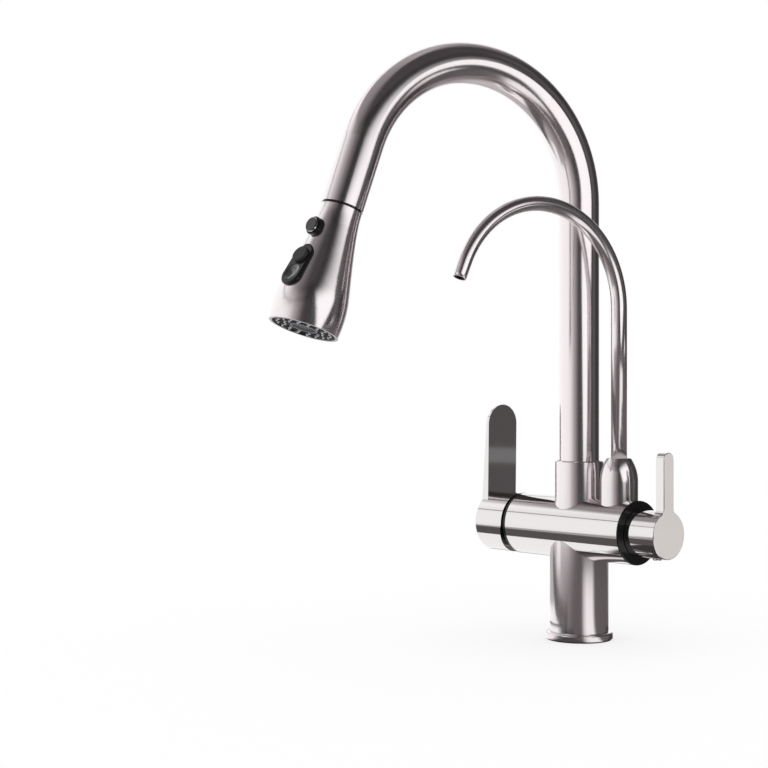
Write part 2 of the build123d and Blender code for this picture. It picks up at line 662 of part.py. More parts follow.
@node
def mixer_handle():
    hub = bar(MIXER_HUB_RADIUS, MIXER_HUB_END, BARREL_LEFT)
    hub = fillet(hub.edges().filter_by(GeomType.CIRCLE).sort_by(Axis.X)[0], EDGE_BREAK)
    hub -= bar(MIXER_HUB_RADIUS - MIXER_HUB_WALL, MIXER_HUB_FLOOR, BARREL_LEFT + OVERRUN)
    hub += bar(MIXER_BOSS_RADIUS, MIXER_HUB_FLOOR, MIXER_BOSS_END)
    low = BARREL_HEIGHT - MIXER_HUB_RADIUS - OVERRUN
    high = BARREL_HEIGHT + MIXER_HUB_RADIUS + OVERRUN
    hub -= side_wedge(MIXER_HUB_RADIUS + OVERRUN, (MIXER_HUB_RIM, high), (MIXER_HUB_RIM, BARREL_HEIGHT),
                      (MIXER_HUB_HEEL, low + OVERRUN), (MIXER_HUB_HEEL, low), (BARREL_LEFT + OVERRUN, low),
                      (BARREL_LEFT + OVERRUN, high))
    hub += paddle()
    spindle = Pos((SPINDLE_OUTER_END + BARREL_LEFT) / 2, 0, BARREL_HEIGHT) * Box(
        BARREL_LEFT - SPINDLE_OUTER_END + 2 * FITTED, SPINDLE_WIDTH + 2 * FITTED,
        SPINDLE_HEIGHT + 2 * FITTED)
    screw_hole = Pos(MIXER_SCREW_STATION, 0, BARREL_HEIGHT) * Rot(-90, 0, 0) * Cylinder(
        HANDLE_SCREW_RADIUS + FITTED, MIXER_HUB_RADIUS + OVERRUN, align=BASE)
    return hub - spindle - screw_hole


def handle_screw(seat, hub_radius):
    """A set screw on Z from the spindle's flat to just under the hub's skin."""
    return grub(HANDLE_SCREW_RADIUS, HANDLE_SCREW_RADIUS - EDGE_BREAK, EDGE_BREAK,
                hub_radius - 2 * EDGE_BREAK - seat)


def screw_plug(hub_radius, proud):
    """A round plug with a domed edge, made along Z from the hub's axis."""
    low = hub_radius - 2 * EDGE_BREAK + FITTED
    body = post(HANDLE_SCREW_RADIUS, low, hub_radius + proud / 2)
    head = post(PLUG_RADIUS, hub_radius + FITTED, hub_radius + proud)
    head = fillet(head.edges().filter_by(GeomType.CIRCLE).sort_by(Axis.Z)[-1], proud / 2)
    return body + head


@node
def mixer_grub_screw():
    seat = SPINDLE_WIDTH / 2 + FITTED
    screw = Pos(0, 0, seat) * handle_screw(seat, MIXER_HUB_RADIUS)
    return Pos(MIXER_SCREW_STATION, 0, BARREL_HEIGHT) * Rot(-90, 0, 0) * screw


@node
def mixer_screw_plug():
    plug = screw_plug(MIXER_HUB_RADIUS, PLUG_PROUD)
    return Pos(MIXER_SCREW_STATION, 0, BARREL_HEIGHT) * Rot(-90, 0, 0) * plug


# Drinking-water headwork and its lever

def stack_end():
    """Where the two ceramic discs end and the spindle's foot begins."""
    return HEADWORK_INNER_END + 2 * DISC_THICKNESS + 3 * FITTED


@node
def filter_headwork():
    body = bar(HEADWORK_RADIUS, HEADWORK_INNER_END + FITTED, HEADWORK_SHOULDER)
    body += bar(HEADWORK_NECK_RADIUS, HEADWORK_SHOULDER, HEADWORK_MOUTH)
    body -= bar(FILTER_SPINDLE_RADIUS + RUNNING, HEADWORK_INNER_END, HEADWORK_MOUTH + OVERRUN)
    chamber_end = stack_end() + FILTER_FOOT_LENGTH + LOOSE
    body -= bar(DISC_RADIUS + RUNNING, HEADWORK_INNER_END - OVERRUN, chamber_end)
    window = DISC_RADIUS
    cross = Box(window, 2 * HEADWORK_RADIUS + OVERRUN, window / 2)
    return body - Pos(HEADWORK_SHOULDER - window, 0, BARREL_HEIGHT) * cross


@node
def filter_fixed_disc():
    start = HEADWORK_INNER_END + 2 * FITTED
    disc = bar(DISC_RADIUS, start, start + DISC_THICKNESS)
    for side in (-1, 1):
        disc -= bar(DISC_PORT_RADIUS, start - OVERRUN, start + DISC_THICKNESS + OVERRUN,
                    side * DISC_RADIUS / 2)
    return disc


@node
def filter_moving_disc():
    start = HEADWORK_INNER_END + DISC_THICKNESS + 3 * FITTED
    disc = bar(DISC_RADIUS, start, start + DISC_THICKNESS)
    for side in (-1, 1):
        disc -= bar(DISC_PORT_RADIUS, start - OVERRUN, start + DISC_THICKNESS + OVERRUN,
                    0, BARREL_HEIGHT + side * DISC_RADIUS / 2)
    return disc


@node
def filter_spindle():
    foot_end = stack_end() + FILTER_FOOT_LENGTH
    stem = bar(FILTER_SPINDLE_RADIUS, foot_end, FILTER_SPINDLE_END)
    return bar(DISC_RADIUS, stack_end(), foot_end) + stem


@node
def filter_retaining_nut():
    nut = bar(GLAND_RADIUS, HEADWORK_SHOULDER, BARREL_RIGHT - FITTED)
    return nut - bar(GLAND_BORE_RADIUS, HEADWORK_SHOULDER - OVERRUN, BARREL_RIGHT + OVERRUN)


@node
def filter_trim_ring():
    collar = bar(BARREL_RADIUS, BARREL_RIGHT, FILTER_RING_OUTER_END)
    collar = chamfer(collar.edges().filter_by(GeomType.CIRCLE).sort_by(Axis.X)[-1], EDGE_BREAK)
    return collar - bar(GLAND_BORE_RADIUS, BARREL_RIGHT - OVERRUN, FILTER_RING_OUTER_END + OVERRUN)


@node
def filter_handle():
    hub = bar(FILTER_HUB_RADIUS, FILTER_HUB_START, FILTER_HUB_END)
    half = LEVER_WIDTH / 2
    stem_height = LEVER_TOP - half - BARREL_HEIGHT
    front = Rectangle(LEVER_WIDTH, stem_height, align=(Align.CENTER, Align.MIN))
    front += Pos(0, stem_height) * Circle(half)
    start = FILTER_HUB_END - LEVER_THICKNESS
    lever = Plane.YZ.offset(start) * Pos(0, BARREL_HEIGHT) * front
    disc = Plane.YZ.offset(start) * Pos(0, BARREL_HEIGHT) * Circle(FILTER_HUB_RADIUS)
    grip = extrude(disc + lever, amount=LEVER_THICKNESS)
    corners = grip.edges().filter_by(Axis.X).sort_by(Axis.Z)[:2]
    grip = fillet(corners, LEVER_ROOT_FILLET)
    outer = grip.faces().sort_by(Axis.X)[-1].edges()
    grip = fillet(outer, EDGE_BREAK)
    hub = fillet(hub.edges().filter_by(GeomType.CIRCLE).sort_by(Axis.X)[-1], EDGE_BREAK) + grip
    hub -= bar(FILTER_HUB_RADIUS - FILTER_HUB_WALL, FILTER_HUB_START - OVERRUN, FILTER_HUB_FLOOR)
    hub += bar(FILTER_BOSS_RADIUS, FILTER_BOSS_START, FILTER_HUB_FLOOR)
    hub -= bar(FILTER_SPINDLE_RADIUS + FITTED, FILTER_BOSS_START - OVERRUN, FILTER_SPINDLE_END + FITTED)
    hole = Pos(FILTER_SCREW_STATION, 0, BARREL_HEIGHT) * Rot(180, 0, 0) * Cylinder(
        HANDLE_SCREW_RADIUS + FITTED, FILTER_HUB_RADIUS + OVERRUN, align=BASE)
    return hub - hole


@node
def filter_grub_screw():
    seat = FILTER_SPINDLE_RADIUS + FITTED
    screw = Pos(0, 0, seat) * handle_screw(seat, FILTER_HUB_RADIUS)
    return Pos(FILTER_SCREW_STATION, 0, BARREL_HEIGHT) * Rot(180, 0, 0) * screw


@node
def filter_screw_plug():
    plug = screw_plug(FILTER_HUB_RADIUS, PLUG_PROUD)
    return Pos(FILTER_SCREW_STATION, 0, BARREL_HEIGHT) * Rot(180, 0, 0) * plug


# Spray head

def head_profile(inset):
    """The head's outline from seam to widest ring, moved in by a wall thickness."""
    points = [(HEAD_SEAM_RADIUS, SEAM_GAP + NECK_RING_LENGTH),
              (HEAD_NECK_RADIUS, HEAD_LENGTH * NECK_STATION_SHARE),
              (HEAD_WAIST_RADIUS, HEAD_LENGTH * WAIST_STATION_SHARE),
              (HEAD_FLARE_RADIUS, HEAD_LENGTH * FLARE_STATION_SHARE),
              (HEAD_WIDEST_RADIUS, HEAD_LENGTH * WIDEST_STATION_SHARE)]
    return Spline([(r - inset, s) for r, s in points], tangents=[(0, 1), (0, 1)])


@node
def spray_head_shell():
    skin = head_profile(0)
    roll = TangentArc(skin @ 1, (HEAD_FACE_RADIUS, HEAD_LENGTH), tangent=(0, 1))
    inside = head_profile(HEAD_WALL)
    face_bore = FACE_RING_RADIUS + FITTED
    inner_top = inside @ 1
    mouth = (face_bore, HEAD_LENGTH)
    outline = [skin, roll, Line(roll @ 1, mouth), Line(mouth, (face_bore, inner_top.Y)),
               Line((face_bore, inner_top.Y), inner_top), inside, Line(inside @ 0, skin @ 0)]
    shell = revolve(Plane.XZ * make_face(Wire(outline)), Axis.Z)
    pause = Pos(0, 0, PAUSE_STATION) * Rot(0, 90, 0) * Cylinder(
        PAUSE_COLLAR_RADIUS + FITTED, 2 * PAUSE_CAP_TOP, align=BASE)
    slot = bezel_location() * Pos(0, 0, -BEZEL_DEPTH) * extrude(
        SlotOverall(BEZEL_LENGTH + 2 * FITTED, BEZEL_WIDTH + 2 * FITTED), 2 * BEZEL_DEPTH)
    return on_head(shell - pause - slot)


@node
def spray_neck_ring():
    return on_head(tube(HEAD_SEAM_RADIUS - FITTED - EDGE_BREAK, NECK_FLANGE_RADIUS + FITTED,
                        SEAM_GAP, SEAM_GAP + NECK_RING_LENGTH))


@node
def spray_neck():
    plug = post(NECK_PLUG_RADIUS, -NECK_PLUG_LENGTH, SEAM_GAP)
    plug = chamfer(plug.edges().filter_by(GeomType.CIRCLE).sort_by(Axis.Z)[0], EDGE_BREAK)
    plug += post(NECK_FLANGE_RADIUS, SEAM_GAP, SEAM_GAP + NECK_FLANGE_LENGTH)
    return on_head(plug - post(CORE_BORE_RADIUS, -NECK_PLUG_LENGTH - OVERRUN,
                               SEAM_GAP + NECK_FLANGE_LENGTH + OVERRUN))


@node
def hose_nut():
    low = -NECK_PLUG_LENGTH - HOSE_NUT_LENGTH
    nut = Pos(0, 0, low) * extrude(RegularPolygon(HOSE_NUT_RADIUS, 6), HOSE_NUT_LENGTH)
    return on_head(nut - post(HOSE_RADIUS + FITTED, low - OVERRUN, -NECK_PLUG_LENGTH + OVERRUN))


@node
def hose_tail():
    return on_head(tube(HOSE_RADIUS, HOSE_BORE_RADIUS, -HOSE_TAIL_LENGTH, -NECK_PLUG_LENGTH))


@node
def spray_core():
    start = SEAM_GAP + NECK_FLANGE_LENGTH
    body = post(CORE_RADIUS, start, CORE_END) + post(CHAMBER_RADIUS, CHAMBER_START, CORE_END)
    body -= post(CORE_BORE_RADIUS, start - OVERRUN, CORE_END + OVERRUN)
    bezel_floor = bezel_location() * Pos(0, 0, -BEZEL_DEPTH - FITTED) * extrude(
        SlotOverall(BEZEL_LENGTH + BEZEL_DEPTH, BEZEL_WIDTH + BEZEL_DEPTH), 2 * BEZEL_DEPTH)
    return on_head(body - bezel_floor)


@node
def face_rim_ring():
    return on_head(tube(FACE_RING_RADIUS, FACE_PLATE_RADIUS + FITTED, HEAD_LENGTH - FACE_THICKNESS,
                        HEAD_LENGTH))


def circle_of(count, radius):
    """Places evenly spaced about Z."""
    return PolarLocations(radius, count)


@node
def spray_face_plate():
    top = HEAD_LENGTH - FACE_RECESS
    plate = tube(FACE_PLATE_RADIUS, AERATOR_RADIUS + FITTED, CORE_END, top)
    for count, circle in ((OUTER_NOZZLES, OUTER_NOZZLE_CIRCLE), (INNER_NOZZLES, INNER_NOZZLE_CIRCLE)):
        hole = post(NOZZLE_FOOT_RADIUS + FITTED, CORE_END + FACE_THICKNESS, top + OVERRUN)
        plate -= [place * hole for place in circle_of(count, circle)]
    return on_head(plate)


@node
def spray_nozzles():
    low = CORE_END + FACE_THICKNESS
    top = HEAD_LENGTH - FACE_RECESS
    nozzle = post(NOZZLE_FOOT_RADIUS, low, top) + Pos(0, 0, top) * Cone(
        NOZZLE_FOOT_RADIUS, NOZZLE_RADIUS, NOZZLE_PROUD, align=BASE)
    tips = []
    for count, circle in ((OUTER_NOZZLES, OUTER_NOZZLE_CIRCLE), (INNER_NOZZLES, INNER_NOZZLE_CIRCLE)):
        tips += [place * nozzle for place in circle_of(count, circle)]
    return on_head(Compound(tips))


@node
def aerator_insert():
    top = HEAD_LENGTH - FACE_RECESS + EDGE_BREAK
    body = post(AERATOR_RADIUS, CORE_END, top)
    body -= post(AERATOR_RADIUS - AERATOR_RIM, top - AERATOR_RIM, top + OVERRUN)
    cell = post(AERATOR_CELL_RADIUS, top - 2 * AERATOR_RIM - OVERRUN, top)
    cells = HexLocations(AERATOR_CELL_SPACING, AERATOR_CELL_ROWS, AERATOR_CELL_ROWS)
    reach = AERATOR_RADIUS - AERATOR_RIM - AERATOR_CELL_RADIUS
    inside = [place for place in cells if math.hypot(place.position.X, place.position.Y) < reach]
    return on_head(body - [place * cell for place in inside])


# Buttons on the spray head

def pause_location():
    """The pause button's axis: Z points outwards."""
    return Pos(0, 0, PAUSE_STATION) * Rot(0, 90, 0)


def bezel_location():
    """The middle of the mode bezel's top: Z points outwards, X towards the seam."""
    return Pos(BEZEL_SEAT, 0, BEZEL_STATION) * Rot(0, 90 + BEZEL_SLOPE, 0)


@node
def pause_collar():
    return on_head(pause_location() * tube(PAUSE_COLLAR_RADIUS, PAUSE_CAP_RADIUS + RUNNING,
                                           CORE_RADIUS + FITTED, PAUSE_COLLAR_TOP))


@node
def pause_button():
    cap = post(PAUSE_CAP_RADIUS, PAUSE_FOOT, PAUSE_CAP_TOP)
    seat = tube(PAUSE_CAP_RADIUS + OVERRUN, PAUSE_CAP_RADIUS - PAUSE_RIM_WIDTH,
                PAUSE_CAP_TOP - PAUSE_RIM_DEPTH, PAUSE_CAP_TOP + OVERRUN)
    return on_head(pause_location() * (cap - seat))


@node
def pause_button_rim():
    rim = tube(PAUSE_CAP_RADIUS, PAUSE_CAP_RADIUS - PAUSE_RIM_WIDTH + FITTED,
               PAUSE_CAP_TOP - PAUSE_RIM_DEPTH, PAUSE_CAP_TOP - PAUSE_CROWN)
    return on_head(pause_location() * rim)


@node
def mode_bezel():
    outer = extrude(SlotOverall(BEZEL_LENGTH, BEZEL_WIDTH), BEZEL_DEPTH)
    outer = Pos(0, 0, -BEZEL_DEPTH) * outer
    outer = chamfer(outer.faces().sort_by(Axis.Z)[-1].edges(), BEZEL_LIP)
    for offset in (UPPER_BUTTON_OFFSET, LOWER_BUTTON_OFFSET):
        outer -= post(MODE_BUTTON_RADIUS + RUNNING, -BEZEL_DEPTH + BEZEL_LIP, OVERRUN, offset)
    return on_head(bezel_location() * outer)


@node
def mode_button_upper():
    foot = MODE_STROKE + LOOSE + BEZEL_LIP - BEZEL_DEPTH
    button = post(MODE_BUTTON_RADIUS, foot, UPPER_BUTTON_PROUD, UPPER_BUTTON_OFFSET)
    button = fillet(button.edges().filter_by(GeomType.CIRCLE).sort_by(Axis.Z)[-1], EDGE_BREAK)
    return on_head(bezel_location() * button)


@node
def mode_button_lower():
    foot = BEZEL_LIP + LOOSE - BEZEL_DEPTH
    button = post(MODE_BUTTON_RADIUS, foot, -LOWER_BUTTON_DROP, LOWER_BUTTON_OFFSET)
    dish = Pos(LOWER_BUTTON_OFFSET, 0, -LOWER_BUTTON_DROP - DISH_DEPTH + DISH_RADIUS) * Sphere(DISH_RADIUS)
    return on_head(bezel_location() * (button - dish))


os.makedirs("parts", exist_ok=True)
for name, make in NODES.items():
    made = make()
    made.label = name
    export_step(made, os.path.join("parts", name + ".step"))
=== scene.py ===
import json
import math

import bmesh
import bpy
from mathutils import Matrix, Vector


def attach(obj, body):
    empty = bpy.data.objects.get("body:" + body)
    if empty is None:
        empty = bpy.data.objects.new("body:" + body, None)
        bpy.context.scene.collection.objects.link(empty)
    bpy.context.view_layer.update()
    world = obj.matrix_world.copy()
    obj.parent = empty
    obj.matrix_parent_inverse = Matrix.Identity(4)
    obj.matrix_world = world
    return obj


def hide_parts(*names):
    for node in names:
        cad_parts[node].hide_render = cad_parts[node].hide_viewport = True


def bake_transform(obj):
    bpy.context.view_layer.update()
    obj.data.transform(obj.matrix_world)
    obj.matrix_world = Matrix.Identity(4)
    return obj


# The looks of a three-way kitchen tap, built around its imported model.
# Everything is in metres, in the model's own frame: +Z up, -Y to the user.

MM = 0.001

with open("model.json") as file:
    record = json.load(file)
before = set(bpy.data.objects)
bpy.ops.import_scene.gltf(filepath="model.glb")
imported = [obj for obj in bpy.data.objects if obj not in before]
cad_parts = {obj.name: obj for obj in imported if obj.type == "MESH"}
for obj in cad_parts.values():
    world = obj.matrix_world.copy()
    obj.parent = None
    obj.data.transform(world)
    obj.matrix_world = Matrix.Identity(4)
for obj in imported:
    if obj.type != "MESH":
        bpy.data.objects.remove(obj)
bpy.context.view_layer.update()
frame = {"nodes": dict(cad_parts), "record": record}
nodes = frame["nodes"]


# Camera: a level view solved from the photograph's outlines

IMAGE_SIZE = 768
FOCAL_PIXELS = 1580.0
SENSOR_WIDTH = 36.0
CAMERA_DISTANCE = 1.1218
CAMERA_AZIMUTH = math.radians(42.5)
CAMERA_HEIGHT = 0.1794
COLUMN_OFFSET_PIXELS = 195.2


def make_camera():
    """A level camera that sees the column to the right of the picture's middle."""
    data = bpy.data.cameras.new("camera")
    data.sensor_width = SENSOR_WIDTH
    data.lens = FOCAL_PIXELS / IMAGE_SIZE * SENSOR_WIDTH
    camera = bpy.data.objects.new("camera", data)
    bpy.context.scene.collection.objects.link(camera)
    camera.location = (CAMERA_DISTANCE * math.sin(CAMERA_AZIMUTH),
                       -CAMERA_DISTANCE * math.cos(CAMERA_AZIMUTH), CAMERA_HEIGHT)
    swing = math.atan(COLUMN_OFFSET_PIXELS / FOCAL_PIXELS)
    camera.rotation_euler = (math.radians(90), 0, CAMERA_AZIMUTH + swing)
    bpy.context.scene.camera = camera


# Where the spray head meets the spout, and the way it points

HEAD_AXIS = Vector((-0.06055543, -0.32994059, -0.94205745))
SEAM_CENTER = Vector((-34.3, -186.9, 293.1)) * MM


# Materials

# Noise scales per metre: across the grain, along it, and for the broad clouding
GRAIN_ACROSS, GRAIN_ALONG = 900.0, 12.0
CLOUD_ACROSS, CLOUD_ALONG = 70.0, 16.0
GRAIN_HEIGHT = 0.02 * MM
SMEAR_SCALE = 60.0
MOULD_GRAIN_SCALE = 900.0
MOULD_CLOUD_RATIO = 12
COAT_ROUGHNESS = 0.08
SATIN_GRAIN_SCALE, SATIN_CLOUD_SCALE = 2600.0, 45.0
SATIN_HEIGHT = 0.01 * MM
SATIN_METAL_SHARE = 0.2
BRAID_PITCH = 2.4 * MM
BRAID_SPECKLE_SCALE = 1800.0
BRAID_HEIGHT = 0.2 * MM


def new_material(name):
    """An empty node material with its shader and output."""
    material = bpy.data.materials.new(name)
    material.use_nodes = True
    tree = material.node_tree
    shader = tree.nodes["Principled BSDF"]
    return material, tree, shader


def math_node(tree, operation, first, second=None):
    """A maths node on sockets or plain numbers; returns its output."""
    step = tree.nodes.new("ShaderNodeMath")
    step.operation = operation
    for index, value in enumerate((first, second)):
        if value is None:
            continue
        if isinstance(value, (int, float)):
            step.inputs[index].default_value = value
        else:
            tree.links.new(value, step.inputs[index])
    return step.outputs[0]


def noise_node(tree, vector, scale, detail=2.0, roughness=0.5):
    """A noise texture read at a vector; returns its value."""
    noise = tree.nodes.new("ShaderNodeTexNoise")
    noise.inputs["Scale"].default_value = scale
    noise.inputs["Detail"].default_value = detail
    noise.inputs["Roughness"].default_value = roughness
    tree.links.new(vector, noise.inputs["Vector"])
    return noise.outputs["Fac"]


def stretched(tree, vector, stretch):
    """The vector scaled apart along its axes, which turns noise into grain."""
    mapping = tree.nodes.new("ShaderNodeMapping")
    mapping.inputs["Scale"].default_value = stretch
    tree.links.new(vector, mapping.inputs["Vector"])
    return mapping.outputs["Vector"]


def range_node(tree, value, low, high):
    """Spreads a 0 to 1 value over a range."""
    spread = tree.nodes.new("ShaderNodeMapRange")
    spread.inputs["To Min"].default_value = low
    spread.inputs["To Max"].default_value = high
    tree.links.new(value, spread.inputs["Value"])
    return spread.outputs["Result"]


def bump_node(tree, shader, height, distance, strength=1.0):
    """Raises the shader's normal by a height value."""
    bump = tree.nodes.new("ShaderNodeBump")
    bump.inputs["Distance"].default_value = distance
    bump.inputs["Strength"].default_value = strength
    tree.links.new(height, bump.inputs["Height"])
    tree.links.new(bump.outputs["Normal"], shader.inputs["Normal"])


def color_range(tree, value, low, high):
    """Mixes two colours by a 0 to 1 value."""
    mix = tree.nodes.new("ShaderNodeMix")
    mix.data_type = "RGBA"
    mix.inputs[6].default_value = (*low, 1)
    mix.inputs[7].default_value = (*high, 1)
    tree.links.new(value, mix.inputs[0])
    return mix.outputs[2]


def brushed_metal(name, light, dark, grain_axis, roughness, spread=0.05):
    """Satin metal with fine grain lines that run along one axis of the object."""
    material, tree, shader = new_material(name)
    coordinates = tree.nodes.new("ShaderNodeTexCoord")
    fine = [GRAIN_ACROSS] * 3
    fine[grain_axis] = GRAIN_ALONG
    grain = noise_node(tree, stretched(tree, coordinates.outputs["Object"], fine), 1.0, 3.0, 0.6)
    broad = [CLOUD_ACROSS] * 3
    broad[grain_axis] = CLOUD_ALONG
    cloud = noise_node(tree, stretched(tree, coordinates.outputs["Object"], broad), 1.0, 2.0)
    shader.inputs["Metallic"].default_value = 1.0
    tree.links.new(color_range(tree, cloud, dark, light), shader.inputs["Base Color"])
    tree.links.new(range_node(tree, grain, roughness - spread, roughness + spread),
                   shader.inputs["Roughness"])
    bump_node(tree, shader, grain, GRAIN_HEIGHT, 0.35)
    return material


def smooth_metal(name, color, roughness, smear):
    """Polished metal with a faint unevenness."""
    material, tree, shader = new_material(name)
    coordinates = tree.nodes.new("ShaderNodeTexCoord")
    cloud = noise_node(tree, coordinates.outputs["Object"], SMEAR_SCALE, 3.0)
    shader.inputs["Metallic"].default_value = 1.0
    shader.inputs["Base Color"].default_value = (*color, 1)
    tree.links.new(range_node(tree, cloud, roughness, roughness + smear), shader.inputs["Roughness"])
    return material


def moulded(name, light, dark, roughness, coat=0.0, shine=0.5, coat_ior=1.5):
    """Moulded plastic or rubber with a fine texture."""
    material, tree, shader = new_material(name)
    coordinates = tree.nodes.new("ShaderNodeTexCoord")
    speckle = noise_node(tree, coordinates.outputs["Object"], MOULD_GRAIN_SCALE, 2.0)
    cloud = noise_node(tree, coordinates.outputs["Object"], MOULD_GRAIN_SCALE / MOULD_CLOUD_RATIO, 2.0)
    tree.links.new(color_range(tree, cloud, dark, light), shader.inputs["Base Color"])
    tree.links.new(range_node(tree, speckle, roughness - 0.05, roughness + 0.05),
                   shader.inputs["Roughness"])
    shader.inputs["Specular IOR Level"].default_value = shine
    shader.inputs["Coat Weight"].default_value = coat
    shader.inputs["Coat IOR"].default_value = coat_ior
    shader.inputs["Coat Roughness"].default_value = COAT_ROUGHNESS
    bump_node(tree, shader, speckle, GRAIN_HEIGHT, 0.4)
    return material


def braid(name, light, dark):
    """Woven nylon over a hose: two crossing helices of bands, light on a dark gap."""
    material, tree, shader = new_material(name)
    coordinates = tree.nodes.new("ShaderNodeTexCoord")
    along = tree.nodes.new("ShaderNodeVectorMath")
    along.operation = "DOT_PRODUCT"
    along.inputs[1].default_value = HEAD_AXIS
    tree.links.new(coordinates.outputs["Object"], along.inputs[0])
    speckle = noise_node(tree, coordinates.outputs["Object"], BRAID_SPECKLE_SCALE, 2.0)
    split = tree.nodes.new("ShaderNodeSeparateXYZ")
    tree.links.new(coordinates.outputs["Object"], split.inputs[0])
    crossed = []
    for lean in (1.0, -1.0):
        slant = math_node(tree, "ADD", along.outputs["Value"],
                          math_node(tree, "MULTIPLY", split.outputs[0], lean))
        wave = math_node(tree, "SINE", math_node(tree, "MULTIPLY", slant, 2 * math.pi / BRAID_PITCH))
        crossed.append(wave)
    weave = math_node(tree, "ADD", math_node(tree, "MULTIPLY", crossed[0], crossed[1]), 1.0)
    weave = math_node(tree, "MULTIPLY", weave, 0.5)
    tree.links.new(color_range(tree, weave, dark, light), shader.inputs["Base Color"])
    tree.links.new(range_node(tree, speckle, 0.4, 0.55), shader.inputs["Roughness"])
    bump_node(tree, shader, weave, BRAID_HEIGHT, 0.6)
    return material


def satin_face(name, light, dark):
    """Blasted metal so fine that it scatters light almost like a painted face."""
    material, tree, shader = new_material(name)
    coordinates = tree.nodes.new("ShaderNodeTexCoord")
    speckle = noise_node(tree, coordinates.outputs["Object"], SATIN_GRAIN_SCALE, 3.0, 0.6)
    cloud = noise_node(tree, coordinates.outputs["Object"], SATIN_CLOUD_SCALE, 2.0)
    shader.inputs["Metallic"].default_value = SATIN_METAL_SHARE
    tree.links.new(color_range(tree, cloud, dark, light), shader.inputs["Base Color"])
    tree.links.new(range_node(tree, speckle, 0.42, 0.52), shader.inputs["Roughness"])
    bump_node(tree, shader, speckle, SATIN_HEIGHT, 0.3)
    return material


Z_AXIS = 2
STEEL_LIGHT = (0.88, 0.825, 0.838)
STEEL_DARK = (0.82, 0.765, 0.778)


# Plastics and rubbers: light tone, dark tone, roughness, and what else the shader takes
MOULDED = {
    "black_trim": ((0.008, 0.0075, 0.008), (0.005, 0.005, 0.0055), 0.22, {"coat": 0.15, "shine": 0.2}),
    "button_plastic": ((0.030, 0.029, 0.032), (0.020, 0.019, 0.021), 0.5, {"shine": 0.3}),
    "gloss_button": ((0.006, 0.006, 0.007), (0.004, 0.004, 0.005), 0.15,
                     {"coat": 1.0, "shine": 0.2, "coat_ior": 1.9}),
    "face_plastic": ((0.008, 0.008, 0.009), (0.005, 0.005, 0.006), 0.5, {"shine": 0.1}),
    # A dark grey copy of the nozzle rubber: painted shade for the nozzles' side walls
    "nozzle_wall_painted_shade": ((0.32, 0.32, 0.33), (0.26, 0.26, 0.27), 0.5, {"shine": 0.3}),
    "nozzle_rubber": ((0.90, 0.91, 0.93), (0.84, 0.85, 0.87), 0.5, {}),
    "aerator_plastic": ((0.15, 0.15, 0.16), (0.12, 0.12, 0.13), 0.4, {"shine": 0.3}),
    "inner_plastic": ((0.8, 0.8, 0.78), (0.74, 0.74, 0.72), 0.5, {}),
    "ceramic": ((0.93, 0.92, 0.89), (0.9, 0.89, 0.86), 0.15, {}),
    "magnet": ((0.15, 0.15, 0.16), (0.12, 0.12, 0.13), 0.4, {}),
    "seal_rubber": ((0.03, 0.03, 0.03), (0.02, 0.02, 0.02), 0.55, {}),
}
# Smooth metals: colour, roughness, and how far the roughness strays
SMOOTH = {
    "polished_steel": ((0.79, 0.765, 0.762), 0.05, 0.02),
    "brushed_arch": ((0.85, 0.795, 0.808), 0.14, 0.04),
    # The tube's bore: near black metal, painted shade for the inside of the tube
    "bore_shade": ((0.035, 0.033, 0.034), 0.4, 0.02),
    "chrome_trim": ((0.88, 0.88, 0.89), 0.05, 0.02),
    "brass_fittings": ((0.78, 0.6, 0.3), 0.25, 0.02),
    "steel_fasteners": ((0.55, 0.55, 0.56), 0.3, 0.02),
}


def make_materials():
    """Every material, under the name of the record's slot or of its own use."""
    made = {
        "brushed_steel": brushed_metal("brushed_steel", STEEL_LIGHT, STEEL_DARK, Z_AXIS, 0.16),
        "satin_lever": satin_face("satin_lever", (0.76, 0.715, 0.69), (0.70, 0.655, 0.63)),
        "hose_braid": braid("hose_braid", (0.46, 0.46, 0.48), (0.03, 0.03, 0.034)),
    }
    for name, (color, roughness, smear) in SMOOTH.items():
        made[name] = smooth_metal(name, color, roughness, smear)
    for name, (light, dark, roughness, finish) in MOULDED.items():
        made[name] = moulded(name, light, dark, roughness, **finish)
    return made


# Nodes whose look differs from the rest of their slot
OWN_MATERIAL = {"mode_button_lower": "gloss_button", "pause_button": "gloss_button"}
LEVER_FACE_START = 74.2 * MM
LEVER_FACE_NORMAL = 0.97
NOZZLE_TIP_NORMAL = 0.9


def dress_nodes(materials):
    """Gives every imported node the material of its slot."""
    slot_of = {entry["node"]: entry["material_slot"] for entry in frame["record"]["subparts"]}
    for name, node in nodes.items():
        node.data.materials.clear()
        node.data.materials.append(materials[OWN_MATERIAL.get(name, slot_of[name])])
    lever = nodes["filter_handle"].data
    lever.materials.append(materials["satin_lever"])
    for face in lever.polygons:
        if face.normal.x > LEVER_FACE_NORMAL and face.center.x > LEVER_FACE_START:
            face.material_index = 1
    # The nozzle rubber is split by facing: the tips keep its bright tone and the side walls take painted
    # shade, so only bright dots show
    nozzles = nodes["spray_nozzles"].data
    nozzles.materials.append(materials["nozzle_wall_painted_shade"])
    for face in nozzles.polygons:
        if abs(face.normal.dot(HEAD_AXIS)) < NOZZLE_TIP_NORMAL:
            face.material_index = 1


# Studio: a soft panel at the tap's right, a white wall at its left, and darkness between,
# above and beneath them, which only the mirroring metal sees

# Level of the wall by azimuth in degrees from the camera, positive to its right
WALL_STOPS = (
    (-180, 1.10), (-150, 1.10), (-125, 1.12), (-95, 1.05), (-78, 1.05), (-60, 0.98), (-46, 0.80),
    (-33, 0.48), (-21, 0.30), (-11, 0.15), (-3, 0.05), (20, 0.035), (84, 0.05), (90, 0.095),
    (100, 0.095), (106, 0.05), (128, 0.03), (142, 0.06), (154, 0.18), (166, 0.80), (174, 1.10), (180, 1.10),
)
